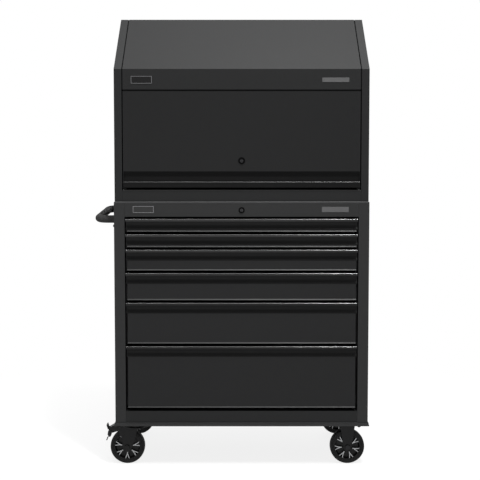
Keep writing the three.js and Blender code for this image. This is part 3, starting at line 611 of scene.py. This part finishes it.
def wheel_spokes(work, centre, face, outline, levels, first):
    """Y-shaped ribs between two depths along the axle, all round the wheel."""
    for k in range(SPOKES):
        turn = first + 2 * math.pi * k / SPOKES
        rings = []
        for depth, slope in levels:
            ring = []
            for across, out in outline:
                y = depth + slope * (out - SPOKE_MIDDLE)
                ring.append((
                    centre[0] + out * math.sin(turn) + across * math.cos(turn),
                    centre[1] + face * y,
                    centre[2] + out * math.cos(turn) - across * math.sin(turn),
                ))
            rings.append(ring)
        loft(work, rings)


def build_wheel(label):
    """The tyre, the dark body of the rim and its silver spokes, in the place of two nodes."""
    tyre, rim = f"{label}_tyre", f"{label}_rim"
    low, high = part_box(tyre)
    centre = (low + high) / 2
    radius = (high.z - low.z) / 2
    half = (high.y - low.y) / 2
    body = BODIES[tyre]
    work = bmesh.new()
    turned(work, tyre_profile(radius, half), centre, (0, 1, 0), ROUND_STEPS, closed=True)
    settle(f"{label}_tyre_skin", work, "tyre_rubber", body, replaces=[tyre])
    first = SPOKE_TURN[label.split("_")[1]]
    crest = half - 3.2 * MM
    work = bmesh.new()
    wheel_barrel(work, centre, half - 1 * MM, RIM_BORE, TYRE_INNER - RIM_GAP)
    levels = ((3 * MM, 0), (crest - 1.2 * MM, SPOKE_SLOPE))
    for face in (-1, 1):
        wheel_spokes(work, centre, face, spoke_outline(WEB_GROW), levels, first)
    settle(f"{label}_wheel_body", work, "black_steel", body, replaces=[rim])
    work = bmesh.new()
    levels = ((crest - SPOKE_RISE, SPOKE_SLOPE), (crest, SPOKE_SLOPE))
    for face in (-1, 1):
        wheel_spokes(work, centre, face, spoke_outline(), levels, first)
    settle(f"{label}_wheel_spokes", work, "wheel_rim", body, bevel=0.4 * MM)


WHEELS = [f"{row}_{side}" for row in ("front", "rear") for side in ("left", "right")]
for label in WHEELS:
    build_wheel(label)


# Side handle: one bent tube with a flange and two screws at each end

TUBE_RADIUS = 14 * MM
BEND = 42 * MM
FLANGE_GAUGE = 3 * MM
FLANGE_HALF = 17 * MM
HANDLE_RISE = 17 * MM
REAR_LIFT = 5 * MM
SCREW_RADIUS = 6.5 * MM
SCREW_OUT = 6 * MM
HANDLE_SCREWS = (("upper", 1, 5 * MM), ("lower", -1, 11 * MM))
PIN = 0.01


def bend_points(start, corner, end, steps=12):
    return [
        (1 - t) ** 2 * start + 2 * t * (1 - t) * corner + t * t * end
        for t in (i / steps for i in range(steps + 1))
    ]


def build_handle():
    """The rear leg stands higher than the front one, so the grip slopes."""
    low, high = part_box("side_handle")
    wall = high.x
    outer = low.x + TUBE_RADIUS
    front, rear = low.y + FLANGE_HALF, high.y - FLANGE_HALF
    middle = (low.z + high.z) / 2
    heights = (middle - HANDLE_RISE / 2, middle + HANDLE_RISE / 2 + REAR_LIFT)
    slope = (heights[1] - heights[0]) / (rear - front) * BEND
    ends = [Vector((wall, front, heights[0])), Vector((wall, rear, heights[1]))]
    corners = [Vector((outer, front, heights[0])), Vector((outer, rear, heights[1]))]
    leg, grip = Vector((BEND, 0, 0)), Vector((0, BEND, slope))
    path = [
        ends[0],
        *bend_points(corners[0] + leg, corners[0], corners[0] + grip),
        *bend_points(corners[1] - grip, corners[1], corners[1] + leg),
        ends[1],
    ]
    work = bmesh.new()
    tube(work, path, TUBE_RADIUS)
    bar = settle("side_handle_tube", work, "black_steel", "root", replaces=["side_handle"])
    bar.data.materials[0] = FINISHES["grip_coat"]
    reach = (high.z - low.z - HANDLE_RISE) / 2 - FLANGE_HALF
    for label, end in zip(("front", "rear"), ends):
        outline = [
            *arc((end.y, end.z + reach), FLANGE_HALF, 0, 180, 16),
            *arc((end.y, end.z - reach), FLANGE_HALF, 180, 360, 16),
        ]
        work = bmesh.new()
        prism_x(work, outline, wall - FLANGE_GAUGE, wall)
        settle(f"handle_{label}_flange", work, "black_steel", "root", bevel=0.7 * MM)
        for place, way, height in HANDLE_SCREWS:
            spot = Vector((wall - FLANGE_GAUGE, end.y, end.z + way * (reach + SCREW_OUT)))
            screw(f"handle_{label}_{place}_screw", spot, (-1, 0, 0), SCREW_RADIUS, height)


def screw(name, spot, axis, radius, height):
    """A domed screw head with a flat recess, standing on a spot."""
    work = bmesh.new()
    dome = [
        (height * math.sin(math.radians(a)), radius * math.cos(math.radians(a)))
        for a in range(0, 61, 12)
    ]
    socket = radius * 0.36
    rim = dome[-1][0]
    floor = rim - height * 0.45
    profile = [
        (0, radius * PIN), (0, radius), *dome[1:], (rim, socket), (floor, socket),
        (floor, radius * PIN),
    ]
    turned(work, profile, spot, axis, 24)
    settle(name, work, "black_steel", "root")


build_handle()


# Blank plates where the photo has badges

BADGE_GAUGE = 1.2 * MM
BADGE_GAP = 0.05 * MM
BADGE_ROUND = 0.3 * MM
BORDER = 1.3 * MM
BORDER_RISE = 0.5 * MM


def badge(name, centre_x, centre_z, width, height, face, border):
    """A blank plate: dark with a raised light border, or plain grey."""
    low = (centre_x - width / 2, face - BADGE_GAUGE, centre_z - height / 2)
    high = (centre_x + width / 2, face - BADGE_GAP, centre_z + height / 2)
    work = bmesh.new()
    block(work, low, high)
    blank = settle(name, work, "black_anodised", "root", bevel=BADGE_ROUND, segments=3)
    if not border:
        blank.data.materials[0] = FINISHES["plate_grey"]
        return
    foot, crest = low[1], low[1] - BORDER_RISE
    corners = (
        (low[0], low[2], -1, -1), (high[0], low[2], 1, -1),
        (high[0], high[2], 1, 1), (low[0], high[2], -1, 1),
    )
    rings = [
        [(x + way_x * grow, y, z + way_z * grow) for x, z, way_x, way_z in corners]
        for grow, y in ((0, foot), (-BORDER, foot), (-BORDER, crest), (0, crest))
    ]
    work = bmesh.new()
    loft(work, rings, closed=True)
    frame_piece = settle(f"{name}_border", work, "black_anodised", "root")
    frame_piece.data.materials[0] = FINISHES["plate_edge"]


HUTCH_BADGE_Z = ROOF_LOW.z + 34 * MM
HEADER_BADGE_Z = HEADER_HIGH.z - 20.5 * MM
for name, across, z, width, height, face, border in (
    ("hutch_left_plate", -357, HUTCH_BADGE_Z, 74, 26, HUTCH_LOW.y, True),
    ("hutch_right_plate", 335, HUTCH_BADGE_Z, 96, 16, HUTCH_LOW.y, False),
    ("header_left_plate", -352, HEADER_BADGE_Z, 74, 24, CABINET_FRONT, True),
    ("header_right_plate", 335, HEADER_BADGE_Z, 96, 19, CABINET_FRONT, False),
):
    badge(name, MID_X + across * MM, z, width * MM, height * MM, face, border)


# Matte black strips in the grooves between the hutch's sides and its roof: painted shade that keeps
# the grooves dark

GROOVE_SHADE_TOP = 1.5 * MM
GROOVE_SHADE_FOOT = 6 * MM
GROOVE_SHADE_GAP = 0.15 * MM
SLOPE_FOOT = ROOF_LOW.z + 72.5 * MM
FOLD = math.tan(math.radians(22.5))


def roof_line(depth):
    """The roof's section at a depth below its skin, from the fascia's foot to the rear."""
    front, top = ROOF_LOW.y, ROOF_HIGH.z
    run = top - SLOPE_FOOT
    return [
        (front + depth, ROOF_LOW.z + 0.5 * MM), (front + depth, SLOPE_FOOT - FOLD * depth),
        (front + run + FOLD * depth, top - depth), (ROOF_HIGH.y - 2 * MM, top - depth),
    ]


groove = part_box("hutch_back_panel")[0].x
for side, edges in (("left", (groove, ROOF_LOW.x)), ("right", (ROOF_HIGH.x, 2 * MID_X - groove))):
    work = bmesh.new()
    outline = [*roof_line(GROOVE_SHADE_TOP), *reversed(roof_line(GROOVE_SHADE_FOOT))]
    prism_x(work, outline, edges[0] + GROOVE_SHADE_GAP, edges[1] - GROOVE_SHADE_GAP)
    # A dark strip in the groove: painted shade
    groove_shade = settle(f"hutch_{side}_seal", work, "tyre_rubber", "root")
    groove_shade.data.materials[0] = FINISHES["matte_black"]


# Trim of the brakes: a black painted pad on the pedal's cheek and the end of the release rod

# The pad's outline, from the brake's low x and high z, in millimetres
PAD_OUTLINE = [(9.4, -20.5), (6.2, -36.2), (14, -45.6), (18, -42.5), (22, -34), (22, -20.5)]
PAD_GAUGE = 1.5 * MM
PAD_GAP = 0.1 * MM
ROD_START = Vector((3.2, -2.6, 4)) * MM
ROD_RUN = Vector((-4.5, 0, -11.5)) * MM
ROD_RADIUS = 1.8 * MM

for label in ("front_left", "rear_left"):
    low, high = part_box(f"{label}_brake")
    hinge = BODIES[f"{label}_brake"]
    ring = [(low.x + x * MM, high.z + z * MM) for x, z in PAD_OUTLINE]
    work = bmesh.new()
    faces = (low.y - PAD_GAP - PAD_GAUGE, low.y - PAD_GAP)
    loft(work, [[(x, y, z) for x, z in ring] for y in faces])
    settle(f"{label}_pedal_pad", work, "black_steel", hinge, bevel=0.5 * MM)
    work = bmesh.new()
    start = Vector((low.x, high.y, low.z)) + ROD_START
    tube(work, [start, start + ROD_RUN], ROD_RADIUS, 12)
    settle(f"{label}_rod_end", work, "black_steel", hinge, bevel=0.3 * MM)


# Nuts that hold the casters, with their washers and the ends of their bolts

NUT_X, NUT_Y = 40 * MM, 33 * MM
PLATE_GAUGE = 4 * MM


def caster_nuts(label, centre_x, centre_y, under):
    for i, (dx, dy) in enumerate(((-1, -1), (1, -1), (-1, 1), (1, 1))):
        spot = Vector((centre_x + dx * NUT_X, centre_y + dy * NUT_Y, under))
        work = bmesh.new()
        turned(work, [(0, 7.5 * MM), (1.2 * MM, 7.5 * MM)], spot, (0, 0, -1), 24)
        turned(work, [(1.2 * MM, 6.4 * MM), (6 * MM, 6.4 * MM)], spot, (0, 0, -1), 6)
        turned(work, [(6 * MM, 3.1 * MM), (8 * MM, 2.6 * MM)], spot, (0, 0, -1), 16)
        settle(f"{label}_nut_{i + 1}", work, "black_steel", "root", bevel=0.3 * MM)


for label in WHEELS:
    source = f"{label}_swivel_plate" if "left" in label else f"{label}_fork"
    low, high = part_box(source)
    middle = (low + high) / 2
    caster_nuts(label, middle.x, middle.y, high.z - PLATE_GAUGE)


# Base skirt: a lip that flares out round the foot of the cabinet

FLARE = 3.2 * MM
FLARE_HEIGHT = 13 * MM
LIP_EDGE = 1.5 * MM
LIP_TOP = 0.4 * MM
LIP_GAP = 0.15 * MM
BEAD_HEIGHT = 11.5 * MM
BEAD_RADIUS = 1.4 * MM
BEAD_OUT = 0.1 * MM + 0.45 * FLARE


def build_skirt():
    gap = LIP_GAP
    z0, z1 = BASE_LOW.z, BASE_LOW.z + FLARE_HEIGHT
    rings = []
    section = ((gap, z0), (FLARE, z0), (FLARE, z0 + LIP_EDGE), (gap + LIP_TOP, z1), (gap, z1))
    for out, z in section:
        rings.append([
            (BASE_LOW.x - out, BASE_LOW.y - out, z), (BASE_HIGH.x + out, BASE_LOW.y - out, z),
            (BASE_HIGH.x + out, BASE_HIGH.y + out, z), (BASE_LOW.x - out, BASE_HIGH.y + out, z),
        ])
    work = bmesh.new()
    loft(work, rings, closed=True)
    settle("base_skirt_lip", work, "case_paint", "root", bevel=0.25 * MM)


def build_rail_bead():
    """A half-round bead along the front of the skirt, as wide as the header rail."""
    work = bmesh.new()
    centre = (BASE_LOW.y - BEAD_OUT, BASE_LOW.z + BEAD_HEIGHT)
    prism_x(work, arc(centre, BEAD_RADIUS, 90, 270, 10), HEADER_LOW.x, HEADER_HIGH.x)
    settle("base_rail_bead", work, "case_paint", "root")


build_skirt()
build_rail_bead()


# Rivets along the backs

RIVET_RADIUS = 3.2 * MM
RIVETS = 6
RIVET_MARGIN = 30 * MM


def rivet_row(name, x, y, bottom, top):
    """Rivets one above the other on a back face."""
    radius = RIVET_RADIUS
    profile = [(0, radius), (0.5 * MM, radius), (1.2 * MM, radius * 0.72), (1.5 * MM, radius * 0.3)]
    foot = Vector((x, y, bottom + RIVET_MARGIN))
    head = Vector((x, y, top - RIVET_MARGIN))
    work = bmesh.new()
    for i in range(RIVETS):
        turned(work, profile, foot.lerp(head, i / (RIVETS - 1)), (0, 1, 0), 16)
    settle(name, work, "black_steel", "root")


for case, low, high, back, inset in (
    ("cabinet", SIDE_LOW, SIDE_HIGH, SIDE_HIGH.y, 10 * MM),
    ("hutch", HUTCH_LOW, HUTCH_HIGH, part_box("hutch_back_panel")[1].y, 14 * MM),
):
    for side, x in (("left", low.x + inset), ("right", 2 * MID_X - low.x - inset)):
        rivet_row(f"{case}_{side}_rivets", x, back, low.z, high.z)


# Studio


def light_path_mix(tree, lit, plain, weight):
    """Shows plain to camera, glossy and transmission rays by a weight, and lit to the rest."""
    path = add(tree, "ShaderNodeLightPath")
    either = add(tree, "ShaderNodeMath", operation="MAXIMUM")
    seen = add(tree, "ShaderNodeMath", operation="MAXIMUM")
    tree.links.new(path.outputs["Is Camera Ray"], either.inputs[0])
    tree.links.new(path.outputs["Is Glossy Ray"], either.inputs[1])
    tree.links.new(either.outputs[0], seen.inputs[0])
    tree.links.new(path.outputs["Is Transmission Ray"], seen.inputs[1])
    share = add(tree, "ShaderNodeMath", operation="MULTIPLY")
    tree.links.new(seen.outputs[0], share.inputs[0])
    if isinstance(weight, float):
        share.inputs[1].default_value = weight
    else:
        tree.links.new(weight, share.inputs[1])
    mix = add(tree, "ShaderNodeMixShader")
    tree.links.new(share.outputs[0], mix.inputs[0])
    tree.links.new(lit, mix.inputs[1])
    tree.links.new(plain, mix.inputs[2])
    return mix.outputs[0]


WORLD_LEVEL = 0.42
FLOOR_SPAN = 30.0
FLOOR_TONE = (0.86, 0.86, 0.86, 1)
# Share of plain white in the floor: near the object and beyond, and the distances between
FLOOR_WHITE = (0.84, 1.0)
FLOOR_FADE = (0.7, 1.6)


def build_world():
    world = bpy.data.worlds.new("studio")
    bpy.context.scene.world = world
    world.use_nodes = True
    tree = world.node_tree
    tree.nodes.clear()
    ambient = add(tree, "ShaderNodeBackground")
    ambient.inputs["Strength"].default_value = WORLD_LEVEL
    ambient.inputs["Color"].default_value = (1, 1, 1, 1)
    white = add(tree, "ShaderNodeBackground")
    white.inputs["Strength"].default_value = 1.0
    white.inputs["Color"].default_value = (1, 1, 1, 1)
    out = add(tree, "ShaderNodeOutputWorld")
    mixed = light_path_mix(tree, ambient.outputs[0], white.outputs[0], 1.0)
    tree.links.new(mixed, out.inputs["Surface"])


def build_floor():
    work = bmesh.new()
    span = FLOOR_SPAN
    corners = [(-span, -span, 0), (span, -span, 0), (span, span, 0), (-span, span, 0)]
    work.faces.new([work.verts.new(c) for c in corners])
    mesh = bpy.data.meshes.new("studio_floor")
    work.to_mesh(mesh)
    work.free()
    floor = bpy.data.objects.new("studio_floor", mesh)
    bpy.context.scene.collection.objects.link(floor)
    floor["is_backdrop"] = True
    material = bpy.data.materials.new("studio_floor")
    tree, shader = nodes_of(material)
    shader.inputs["Base Color"].default_value = FLOOR_TONE
    shader.inputs["Roughness"].default_value = 0.9
    shader.inputs["Specular IOR Level"].default_value = 0.0
    glow = add(tree, "ShaderNodeEmission")
    glow.inputs["Color"].default_value = (1, 1, 1, 1)
    glow.inputs["Strength"].default_value = 1.0
    where = add(tree, "ShaderNodeTexCoord").outputs["Object"]
    distance = add(tree, "ShaderNodeVectorMath", operation="LENGTH")
    tree.links.new(where, distance.inputs[0])
    weight = ramp(tree, distance.outputs["Value"], *FLOOR_WHITE, *FLOOR_FADE)
    mixed = light_path_mix(tree, shader.outputs[0], glow.outputs[0], weight)
    tree.links.new(mixed, tree.nodes["Material Output"].inputs["Surface"])
    mesh.materials.append(material)


def lamp(name, spot, target, size, power):
    data = bpy.data.lights.new(name, "AREA")
    data.shape = "RECTANGLE"
    data.size, data.size_y = size
    data.energy = power
    light = bpy.data.objects.new(name, data)
    light.location = spot
    light.rotation_euler = (Vector(target) - Vector(spot)).to_track_quat("-Z", "Y").to_euler()
    bpy.context.scene.collection.objects.link(light)


def build_camera():
    data = bpy.data.cameras.new("camera")
    data.sensor_width = SENSOR
    data.lens = FOCAL_PX / FRAME_PX * SENSOR
    data.shift_y = SHIFT_Y
    data.clip_end = CLIP_END
    camera = bpy.data.objects.new("camera", data)
    aside = (CENTRE_PX - FRAME_PX / 2) / FOCAL_PX * CAMERA_DISTANCE
    camera.location = (MID_X - aside, CABINET_FRONT - CAMERA_DISTANCE, CAMERA_HEIGHT)
    camera.rotation_euler = (math.pi / 2 - CAMERA_PITCH, 0, 0)
    bpy.context.scene.collection.objects.link(camera)
    bpy.context.scene.camera = camera


# Each lamp: name, place beside the middle, y and z, the target's y and z, size, power. The keys
# stand high in front, so that they light noses and hems and leave the channels dark. The middle
# one is broad and dim, and the ones beside it brighten the ends of the pulls.
KEY_PLACE = (-2.5, 7.0, -0.2, 0.8)
LAMPS = (
    ("overhead_softbox", 0, (0.3, 5.0, 0, 1.1), (2.4, 1.2), 12),
    ("key_middle", -0.22, KEY_PLACE, (1.95, 1.8), 130),
    ("key_left", -1.35, KEY_PLACE, (0.3, 1.8), 95),
    ("key_right_inner", 0.92, KEY_PLACE, (0.35, 1.8), 50),
    ("key_right", 1.3, KEY_PLACE, (0.4, 1.8), 520),
    ("front_fill", -0.3, (-5.2, 0.6, 0, 0.7), (3.0, 0.9), 24),
    ("rear_fill", 0.6, (3.6, 2.4, 0, 0.9), (2.4, 2.0), 46),
)

build_world()
build_floor()
build_camera()
for name, aside, (y, z, target_y, target_z), size, power in LAMPS:
    lamp(name, (MID_X + aside, y, z), (MID_X, target_y, target_z), size, power)
bpy.context.scene.view_settings.view_transform = "Standard"

low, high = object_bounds()
